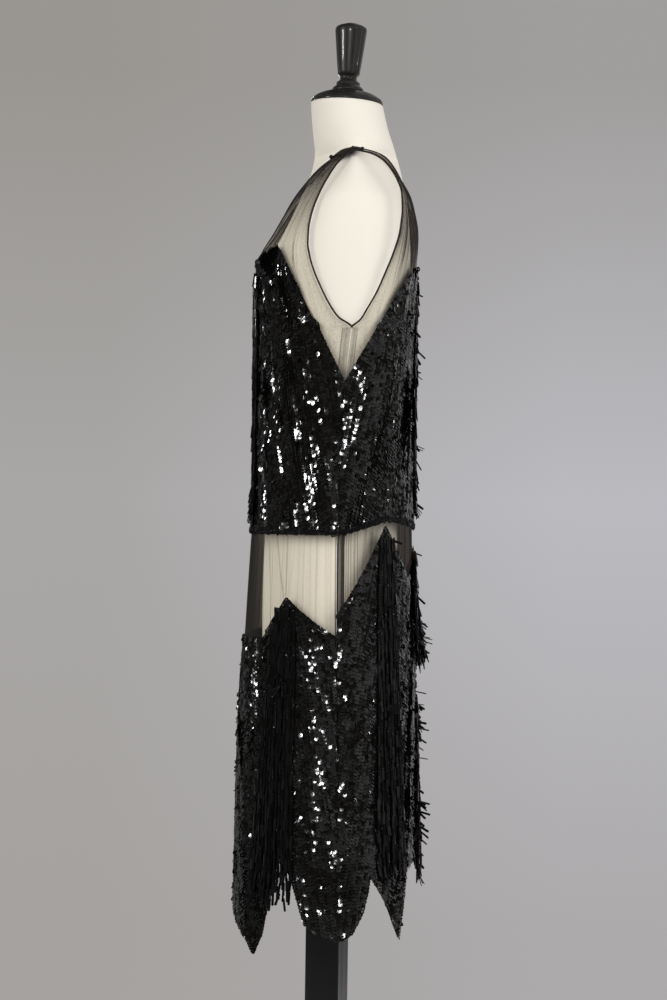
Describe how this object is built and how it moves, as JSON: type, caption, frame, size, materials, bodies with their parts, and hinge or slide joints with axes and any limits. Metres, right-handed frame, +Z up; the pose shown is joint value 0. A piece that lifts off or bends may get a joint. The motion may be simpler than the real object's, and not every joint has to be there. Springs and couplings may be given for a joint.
{
  "type": "flapper dress on a dress form",
  "caption": "Sleeveless black net and sequin dress with fringes and a handkerchief hem, on a limbless dress form with a turned finial, square post and round base.",
  "frame": {"origin": "centre of the underside of the round base", "axes": "+Z up along the post, -Y towards the front of the dress, +X towards the wearer's left"},
  "size_m": [0.42, 0.42, 1.6005],
  "materials": {
    "black_net": "fine sheer net",
    "black_sequins": "overlapping cup sequins sewn on net",
    "black_bars": "flat glossy bars threaded in strands",
    "black_binding": "narrow rolled edge",
    "ivory_jersey": "smooth stretched jersey",
    "black_wood": "black lacquer"
  },
  "bodies": {
    "root": {"yoke_front_left": "black_net", "yoke_front_right": "black_net", "yoke_back": "black_net", "bodice_front": "black_sequins", "bodice_back": "black_sequins", "hip_net_front": "black_net", "hip_net_back": "black_net", "skirt_front": "black_sequins", "skirt_back": "black_sequins", "edging_front": "black_binding", "edging_back": "black_binding", "armhole_binding_left": "black_binding", "armhole_binding_right": "black_binding", "neck_binding": "black_binding", "shoulder_tab_left": "black_binding", "shoulder_tab_right": "black_binding", "fringe_bodice_front": "black_bars", "fringe_bodice_back": "black_bars", "fringe_back_upper": "black_bars", "fringe_back_lower": "black_bars", "fringe_front_left": "black_bars", "fringe_front_right": "black_bars", "fringe_side_left": "black_bars", "fringe_side_right": "black_bars", "form_body": "ivory_jersey", "neck_cap": "black_wood", "finial": "black_wood", "post": "black_wood", "base": "black_wood"}
  },
  "joints": []
}
